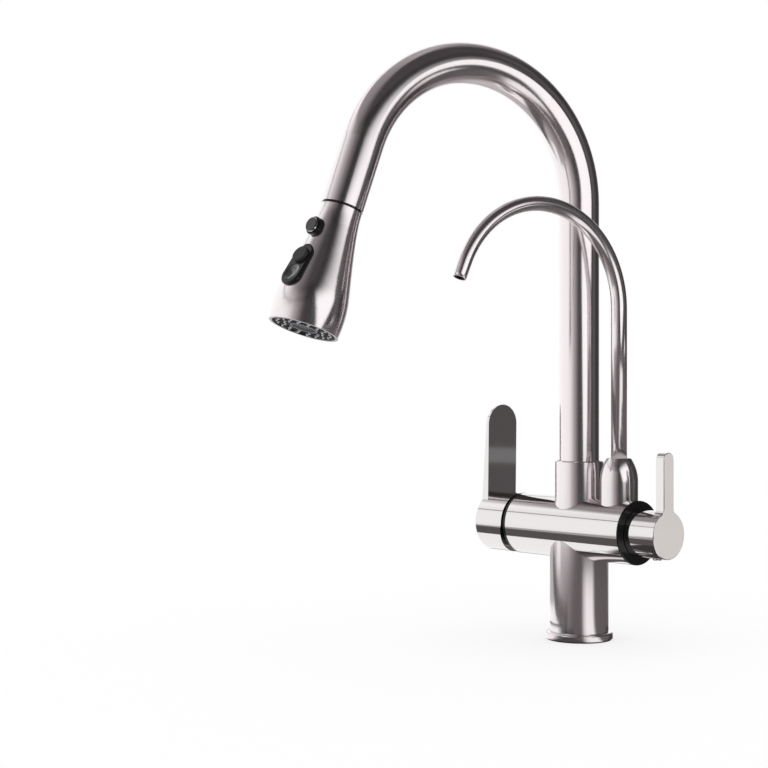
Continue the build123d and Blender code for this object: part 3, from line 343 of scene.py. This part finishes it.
# Share of the wall's light that is gone high up, by azimuth
WALL_FADE_STOPS = (
    (-180, 0.0), (-108, 0.0), (-85, 0.30), (-60, 0.72), (-20, 0.85), (30, 0.6), (120, 0.0), (180, 0.0),
)
WALL_FADE_START = math.radians(20)
WALL_FADE_END = math.radians(46)
CEILING_START = math.radians(41)
CEILING_END = math.radians(47)
CEILING_STOPS = (
    (-180, 0.45), (-125, 0.32), (-60, 0.26), (-35, 0.16), (-12, 0.055), (120, 0.05), (145, 0.2), (180, 0.45),
)
WALL_EDGE_LOW = math.radians(28.5)
WALL_EDGE_HIGH = math.radians(31.0)
WALL_EDGE_LEVEL = 0.45
DEPTH_START = math.radians(-22)
DEPTH_END = math.radians(-50)
DEPTH_SHARE = 0.25
# A low glow at the right, which only the undersides of the arches mirror
GLOW_TOP = (math.radians(-6), math.radians(-12))
GLOW_FOOT = (math.radians(-38), math.radians(-29))
GLOW_STOPS = ((-180, 0.0), (52, 0.0), (64, 0.85), (90, 0.85), (104, 0.0), (180, 0.0))

# The panel leans outwards at both sides with height
PANEL_X = 517 * MM
PANEL_Y = (-520 * MM, 260 * MM)
PANEL_Z = (60 * MM, 690 * MM)
PANEL_LEFT = (-215 * MM, -160 * MM)
PANEL_LEFT_LEAN = 0.5
PANEL_RIGHT = (-155 * MM, -192 * MM)
PANEL_RIGHT_LEAN = -1.16
PANEL_END = (215 * MM, 180 * MM)
PANEL_SOFT_FOOT = 35 * MM
PANEL_SOFT_HEAD = 300 * MM
PANEL_LEVEL = 1.15
PANEL_DARK = 0.045
STRIP_CENTER = (276 * MM, 358 * MM)
STRIP_SIDE = (-0.737, 0.676)
STRIP_HALF = 32 * MM
STRIP_Z = (86 * MM, 102 * MM)
STRIP_LEVEL = 0.2
LOW_CARD_RADIUS = 36 * MM
LOW_CARD_HEIGHT = 9 * MM
LOW_CARD_TURN = (-165, -42)
LOW_CARD_STEPS = 24
LOW_CARD_FADE = 0.6
LOW_CARD_EDGE = 0.12
LOW_CARD_STOPS = ((-180, 0.1), (-160, 0.2), (-135, 1.05), (-72, 1.05), (-50, 0.12), (180, 0.1))

DARK_TINT = (1.0, 0.90, 0.92)
FLOOR_HALF = 6.0
FLOOR_DROP = 0.4 * MM
# The floor is part matt, which keeps the shadow, and part glow, which keeps it white
FLOOR_MATT = 0.35
FLOOR_GLOW = 0.65
MIRRORED_HALF = 700 * MM
# Level of the mirrored floor by azimuth, far from the tap and close to it
FLOOR_STOPS = (
    (-180, 0.5), (-100, 0.5), (-94, 1.02), (-80, 1.02), (-74, 0.42), (-45, 0.30), (-15, 0.14),
    (12, 0.10), (130, 0.10), (150, 0.3), (180, 0.5),
)
NEAR_STOPS = (
    (-180, 0.6), (-74, 0.42), (-46, 0.22), (-20, 0.12), (8, 0.12), (18, 0.75), (28, 1.0), (50, 1.0),
    (60, 0.12), (140, 0.12), (165, 0.5), (180, 0.6),
)
NEAR_DISTANCE = 450 * MM
WHITE_LEFT = -185 * MM
WHITE_RIGHT = 28 * MM
WHITE_LEVEL = 1.05
GAP_LEVEL = 0.105
GAP_NEAR = 78 * MM
GAP_FAR = 215 * MM
GAP_LEFT = 700 * MM
# Painted shadow: close by, the mirrored floor turns dark to the right of the column, for the tap's contact
# shadow
SHADE_X = (-22 * MM, -8 * MM)
SHADE_LEVEL = 0.05


def between(tree, value, low, high):
    """One where a value lies between two bounds, and zero elsewhere."""
    return math_node(tree, "MULTIPLY", math_node(tree, "GREATER_THAN", value, low),
                     math_node(tree, "LESS_THAN", value, high))


def smooth(tree, value, start, end):
    """Runs softly from zero at start to one at end."""
    step = tree.nodes.new("ShaderNodeMapRange")
    step.interpolation_type = "SMOOTHSTEP"
    step.inputs["From Min"].default_value = start
    step.inputs["From Max"].default_value = end
    tree.links.new(value, step.inputs["Value"])
    return step.outputs["Result"]


def mixed(tree, share, first, second):
    """The first number where the share is zero and the second where it is one."""
    mix = tree.nodes.new("ShaderNodeMix")
    mix.data_type = "FLOAT"
    for index, value in ((0, share), (2, first), (3, second)):
        if isinstance(value, (int, float)):
            mix.inputs[index].default_value = value
        else:
            tree.links.new(value, mix.inputs[index])
    return mix.outputs[0]


def plan_share(tree, x, y):
    """The plan direction from the camera's azimuth, as a share of a full turn."""
    toward = (math.sin(CAMERA_AZIMUTH), -math.cos(CAMERA_AZIMUTH))
    right = (math.cos(CAMERA_AZIMUTH), math.sin(CAMERA_AZIMUTH))
    ahead = math_node(tree, "ADD", math_node(tree, "MULTIPLY", x, toward[0]),
                      math_node(tree, "MULTIPLY", y, toward[1]))
    aside = math_node(tree, "ADD", math_node(tree, "MULTIPLY", x, right[0]),
                      math_node(tree, "MULTIPLY", y, right[1]))
    turn = math_node(tree, "ARCTAN2", aside, ahead)
    return math_node(tree, "ADD", math_node(tree, "DIVIDE", turn, 2 * math.pi), 0.5)


def by_azimuth(tree, share, level_stops):
    """The level that the stops give at a plan direction."""
    ramp = tree.nodes.new("ShaderNodeValToRGB")
    tree.links.new(share, ramp.inputs[0])
    stops = ramp.color_ramp.elements
    peak = max(level for _, level in level_stops)
    for index, (angle, level) in enumerate(level_stops):
        place = (angle + 180) / 360
        stop = stops[index] if index < 2 else stops.new(place)
        stop.position = place
        stop.color = (level / peak, level / peak, level / peak, 1)
    return math_node(tree, "MULTIPLY", ramp.outputs[0], peak)


def tinted(tree, level):
    """White for bright levels, and the photograph's faint warm tone for dark ones."""
    mix = tree.nodes.new("ShaderNodeMix")
    mix.data_type = "RGBA"
    mix.inputs[6].default_value = (*DARK_TINT, 1)
    mix.inputs[7].default_value = (1, 1, 1, 1)
    tree.links.new(level, mix.inputs[0])
    return mix.outputs[2]


def studio_piece(name, points, faces, material):
    """A mesh that belongs to the studio and not to the tap."""
    mesh = bpy.data.meshes.new(name)
    mesh.from_pydata(points, [], faces)
    mesh.materials.append(material)
    piece = bpy.data.objects.new(name, mesh)
    bpy.context.scene.collection.objects.link(piece)
    return piece


def flat_sheet(name, corners, material):
    """A single flat face of the studio."""
    return studio_piece(name, corners, [(0, 1, 2, 3)], material)


def only_mirrored(sheet):
    """Keeps a sheet of the studio from everything but mirroring surfaces."""
    sheet.visible_camera = False
    sheet.visible_diffuse = False
    sheet.visible_shadow = False
    sheet.visible_transmission = False


def floor_corners(half, height):
    return [(-half, -half, height), (half, -half, height), (half, half, height), (-half, half, height)]


def glowing(name):
    """A material that only shines; returns it with its tree and its strength socket."""
    material, tree, shader = new_material(name)
    tree.nodes.remove(shader)
    glow = tree.nodes.new("ShaderNodeEmission")
    tree.links.new(glow.outputs[0], tree.nodes["Material Output"].inputs["Surface"])
    return material, tree, glow


def place_sockets(tree):
    """The three coordinates of the point in the model's frame."""
    coordinates = tree.nodes.new("ShaderNodeTexCoord")
    split = tree.nodes.new("ShaderNodeSeparateXYZ")
    tree.links.new(coordinates.outputs["Object"], split.inputs[0])
    return split.outputs


def white_floor():
    """The floor as the camera and soft light see it: white, with the tap's faint shadow."""
    material, tree, shader = new_material("floor_white")
    shader.inputs["Base Color"].default_value = (FLOOR_MATT, FLOOR_MATT, FLOOR_MATT, 1)
    shader.inputs["Roughness"].default_value = 1.0
    shader.inputs["Specular IOR Level"].default_value = 0.0
    shader.inputs["Emission Color"].default_value = (1, 1, 1, 1)
    shader.inputs["Emission Strength"].default_value = FLOOR_GLOW
    floor = flat_sheet("floor", floor_corners(FLOOR_HALF, 0), material)
    floor.visible_glossy = False
    floor.visible_shadow = False


def mirrored_floor():
    """The floor as the metal mirrors it: white close by at the left, then a dark gap."""
    material, tree, glow = glowing("floor_mirrored")
    x, y, _ = place_sockets(tree)
    share = plan_share(tree, x, y)
    distance = math_node(tree, "SQRT", math_node(
        tree, "ADD", math_node(tree, "MULTIPLY", x, x), math_node(tree, "MULTIPLY", y, y)))
    near = math_node(tree, "LESS_THAN", distance, NEAR_DISTANCE)
    level = mixed(tree, near, by_azimuth(tree, share, FLOOR_STOPS), by_azimuth(tree, share, NEAR_STOPS))
    white = math_node(tree, "MULTIPLY", between(tree, x, WHITE_LEFT, WHITE_RIGHT),
                      between(tree, y, -GAP_NEAR, GAP_NEAR))
    # Painted shadow of the tap on the mirrored floor, right of the column
    shaded = mixed(tree, smooth(tree, x, *SHADE_X), WHITE_LEVEL, SHADE_LEVEL)
    level = mixed(tree, white, level, shaded)
    gap = math_node(tree, "MULTIPLY", between(tree, y, -GAP_FAR, -GAP_NEAR),
                    between(tree, x, -GAP_LEFT, 0.0))
    level = mixed(tree, gap, level, GAP_LEVEL)
    tree.links.new(level, glow.inputs["Strength"])
    tree.links.new(tinted(tree, level), glow.inputs["Color"])
    only_mirrored(flat_sheet("floor_mirrored", floor_corners(MIRRORED_HALF, -FLOOR_DROP), material))


def soft_panel():
    """The upright light panel at the right, which fades out towards its edges."""
    material, tree, glow = glowing("soft_panel")
    _, y, z = place_sockets(tree)
    left = math_node(tree, "ADD", y, math_node(tree, "MULTIPLY", z, PANEL_LEFT_LEAN))
    right = math_node(tree, "ADD", y, math_node(tree, "MULTIPLY", z, PANEL_RIGHT_LEAN))
    across = math_node(tree, "MULTIPLY", smooth(tree, left, *PANEL_LEFT), smooth(tree, right, *PANEL_RIGHT))
    across = math_node(tree, "MULTIPLY", across, smooth(tree, y, *PANEL_END))
    upward = math_node(tree, "MULTIPLY", smooth(tree, z, PANEL_Z[0], PANEL_Z[0] + PANEL_SOFT_FOOT),
                       smooth(tree, z, PANEL_Z[1], PANEL_Z[1] - PANEL_SOFT_HEAD))
    shown = math_node(tree, "MULTIPLY", across, upward)
    tree.links.new(mixed(tree, shown, PANEL_DARK, PANEL_LEVEL), glow.inputs["Strength"])
    corners = [(PANEL_X, PANEL_Y[0], PANEL_Z[0]), (PANEL_X, PANEL_Y[1], PANEL_Z[0]),
               (PANEL_X, PANEL_Y[1], PANEL_Z[1]), (PANEL_X, PANEL_Y[0], PANEL_Z[1])]
    only_mirrored(flat_sheet("soft_panel", corners, material))


def small_cards():
    """A faint strip that the paddle mirrors, and a low card round the flange's left."""
    material, _, glow = glowing("strip_card")
    glow.inputs["Strength"].default_value = STRIP_LEVEL
    ends = [(STRIP_CENTER[0] + side * STRIP_HALF * STRIP_SIDE[0],
             STRIP_CENTER[1] + side * STRIP_HALF * STRIP_SIDE[1]) for side in (-1, 1)]
    corners = [(*ends[0], STRIP_Z[0]), (*ends[1], STRIP_Z[0]),
               (*ends[1], STRIP_Z[1]), (*ends[0], STRIP_Z[1])]
    only_mirrored(flat_sheet("strip_card", corners, material))

    material, tree, glow = glowing("low_card")
    x, y, z = place_sockets(tree)
    level = by_azimuth(tree, plan_share(tree, x, y), LOW_CARD_STOPS)
    fade = smooth(tree, z, LOW_CARD_HEIGHT * LOW_CARD_FADE, LOW_CARD_HEIGHT)
    level = mixed(tree, fade, level, LOW_CARD_EDGE)
    tree.links.new(level, glow.inputs["Strength"])
    points = []
    for step in range(LOW_CARD_STEPS + 1):
        swept = (LOW_CARD_TURN[1] - LOW_CARD_TURN[0]) * step / LOW_CARD_STEPS
        turn = math.radians(LOW_CARD_TURN[0] + swept)
        heading = CAMERA_AZIMUTH + turn
        foot = (LOW_CARD_RADIUS * math.sin(heading), -LOW_CARD_RADIUS * math.cos(heading))
        points += [(*foot, 0.0), (*foot, LOW_CARD_HEIGHT)]
    faces = [(2 * i, 2 * i + 2, 2 * i + 3, 2 * i + 1) for i in range(LOW_CARD_STEPS)]
    only_mirrored(studio_piece("low_card", points, faces, material))


def studio_world():
    """White to the camera and to soft light; wall, ceiling and depth to mirroring metal."""
    world = bpy.data.worlds.new("studio")
    bpy.context.scene.world = world
    world.use_nodes = True
    tree = world.node_tree
    tree.nodes.clear()
    coordinates = tree.nodes.new("ShaderNodeTexCoord")
    split = tree.nodes.new("ShaderNodeSeparateXYZ")
    tree.links.new(coordinates.outputs["Generated"], split.inputs[0])
    x, y, z = split.outputs
    share = plan_share(tree, x, y)
    rise = math_node(tree, "ARCSINE", z)
    wall = by_azimuth(tree, share, WALL_STOPS)
    lost = math_node(tree, "MULTIPLY", by_azimuth(tree, share, WALL_FADE_STOPS),
                     smooth(tree, rise, WALL_FADE_START, WALL_FADE_END))
    wall = math_node(tree, "MULTIPLY", wall, math_node(tree, "SUBTRACT", 1.0, lost))
    edge = between(tree, rise, WALL_EDGE_LOW, WALL_EDGE_HIGH)
    wall = math_node(tree, "MULTIPLY", wall, mixed(tree, edge, 1.0, WALL_EDGE_LEVEL))
    depth = smooth(tree, rise, DEPTH_START, DEPTH_END)
    wall = math_node(tree, "MULTIPLY", wall, mixed(tree, depth, 1.0, DEPTH_SHARE))
    glow = math_node(tree, "MULTIPLY", smooth(tree, rise, *GLOW_TOP), smooth(tree, rise, *GLOW_FOOT))
    glow = math_node(tree, "MULTIPLY", glow, by_azimuth(tree, share, GLOW_STOPS))
    wall = math_node(tree, "ADD", wall, glow)
    mirrored = mixed(tree, smooth(tree, rise, CEILING_START, CEILING_END), wall,
                     by_azimuth(tree, share, CEILING_STOPS))
    path = tree.nodes.new("ShaderNodeLightPath")
    level = mixed(tree, path.outputs["Is Glossy Ray"], 1.0, mirrored)
    background = tree.nodes.new("ShaderNodeBackground")
    tree.links.new(tinted(tree, level), background.inputs["Color"])
    tree.links.new(level, background.inputs["Strength"])
    output = tree.nodes.new("ShaderNodeOutputWorld")
    tree.links.new(background.outputs[0], output.inputs[0])


# Round pieces that stand for a node

def join_rings(build, first, second, smooth_faces, material_index=0):
    """A band of faces between two rings of the same number of points."""
    count = len(first)
    for side in range(count):
        after = (side + 1) % count
        face = build.faces.new((first[side], first[after], second[after], second[side]))
        face.smooth = smooth_faces
        face.material_index = material_index


def finished(name, build, materials):
    """An object from a built mesh, with its materials, in the scene."""
    bmesh.ops.recalc_face_normals(build, faces=build.faces)
    mesh = bpy.data.meshes.new(name)
    build.to_mesh(mesh)
    build.free()
    for material in materials:
        mesh.materials.append(material)
    piece = bpy.data.objects.new(name, mesh)
    bpy.context.scene.collection.objects.link(piece)
    return piece


# The pull-out hose, whose short tail lies in the spout; on the tap it draws out with the spray head, but
# here it is built in one place

HOSE_RADIUS = 6.0 * MM
HOSE_INNER_END = 39.5 * MM
HOSE_NUT_END = 12.0 * MM
HOSE_RINGS = 200
HOSE_SIDES = 40


def braided_hose(materials):
    """A tube of rings that blends from the spout to the head, and stands for the hose's tail."""
    across = HEAD_AXIS.cross(Vector((1, 0, 0))).normalized()
    other = HEAD_AXIS.cross(across).normalized()
    build = bmesh.new()
    rings = []
    for step in range(HOSE_RINGS + 1):
        along = -HOSE_INNER_END + (HOSE_INNER_END - HOSE_NUT_END) * step / HOSE_RINGS
        center = SEAM_CENTER + HEAD_AXIS * along
        ring = []
        for side in range(HOSE_SIDES):
            turn = 2 * math.pi * side / HOSE_SIDES
            outwards = across * math.cos(turn) + other * math.sin(turn)
            ring.append(build.verts.new(center + outwards * HOSE_RADIUS))
        rings.append(ring)
    for first, second in zip(rings, rings[1:]):
        join_rings(build, first, second, True)
    build.faces.new(list(reversed(rings[0])))
    build.faces.new(rings[-1])
    hose = finished("pulled_hose", build, [materials["hose_braid"]])
    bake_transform(hose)
    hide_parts("hose_tail")


# The drinking spout's tube, which narrows along its arch as the photograph shows

ARCH_X = 36.8 * MM
ARCH_FOOT = 104.3 * MM
ARCH_BASE = 231.2 * MM
ARCH_RADIUS = 67.9 * MM
ARCH_ANGLE = math.radians(157.5)
ARCH_TAIL = 10.5 * MM
ARCH_TURN = math.radians(-7.6)
ARCH_WALL = 0.8 * MM
ARCH_SIDES = 48
ARCH_STEPS = 72
# How far down the straight tail its rings stand
TAIL_STATIONS = (0.5, 0.8, 1.0)
# Tube radius by the share of the arch that lies behind
NARROWING = ((0.0, 5.5), (0.25, 5.42), (0.55, 5.1), (0.8, 4.8), (0.97, 4.65), (1.0, 4.45))


def narrowed(share):
    """The tube's outer radius at a share of the way along the arch."""
    for (before, wide), (after, slim) in zip(NARROWING, NARROWING[1:]):
        if share <= after:
            return (wide + (slim - wide) * (share - before) / (after - before)) * MM
    return NARROWING[-1][1] * MM


def arch_stations():
    """Centre, direction and outer radius along the tube, from its foot to its mouth."""
    stations = []
    for height in (ARCH_FOOT, ARCH_BASE):
        stations.append((Vector((0, 0, height)), Vector((0, 0, 1)), narrowed(0)))
    length = ARCH_RADIUS * ARCH_ANGLE + ARCH_TAIL
    for step in range(1, ARCH_STEPS + 1):
        turn = ARCH_ANGLE * step / ARCH_STEPS
        center = Vector((0, -ARCH_RADIUS * (1 - math.cos(turn)), ARCH_BASE + ARCH_RADIUS * math.sin(turn)))
        stations.append((center, Vector((0, -math.sin(turn), math.cos(turn))),
                         narrowed(ARCH_RADIUS * turn / length)))
    center, heading, _ = stations[-1]
    for station in TAIL_STATIONS:
        tail = station * ARCH_TAIL
        stations.append((center + heading * tail, heading, narrowed((length - ARCH_TAIL + tail) / length)))
    return stations


def narrowing_tube(materials):
    """An open tube of rings, its skin and its bore, that stands for the drinking spout's tube."""
    build = bmesh.new()
    swing = Matrix.Translation((ARCH_X, 0, 0)) @ Matrix.Rotation(ARCH_TURN, 4, "Z")
    side = Vector((1, 0, 0))
    turns = [2 * math.pi * i / ARCH_SIDES for i in range(ARCH_SIDES)]
    skins = []
    for wall in (0.0, ARCH_WALL):
        rings = []
        for center, heading, radius in arch_stations():
            other = heading.cross(side)
            ring = []
            for turn in turns:
                outwards = side * math.cos(turn) + other * math.sin(turn)
                ring.append(build.verts.new(swing @ (center + outwards * (radius - wall))))
            rings.append(ring)
        skins.append(rings)
    # The outer skin takes the arch's metal, and the bore takes the painted shade
    for skin, rings in enumerate(skins):
        for first, second in zip(rings, rings[1:]):
            join_rings(build, first, second, True, skin)
    for end in (0, -1):
        join_rings(build, skins[0][end], skins[1][end], False)
    tube = finished("drinking_spout_arch", build, [materials["brushed_arch"], materials["bore_shade"]])
    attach(tube, "drinking_spout")
    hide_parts("drinking_spout_tube")


materials = make_materials()
dress_nodes(materials)
braided_hose(materials)
narrowing_tube(materials)
make_camera()
white_floor()
mirrored_floor()
soft_panel()
small_cards()
studio_world()
bpy.context.scene.view_settings.view_transform = "Standard"
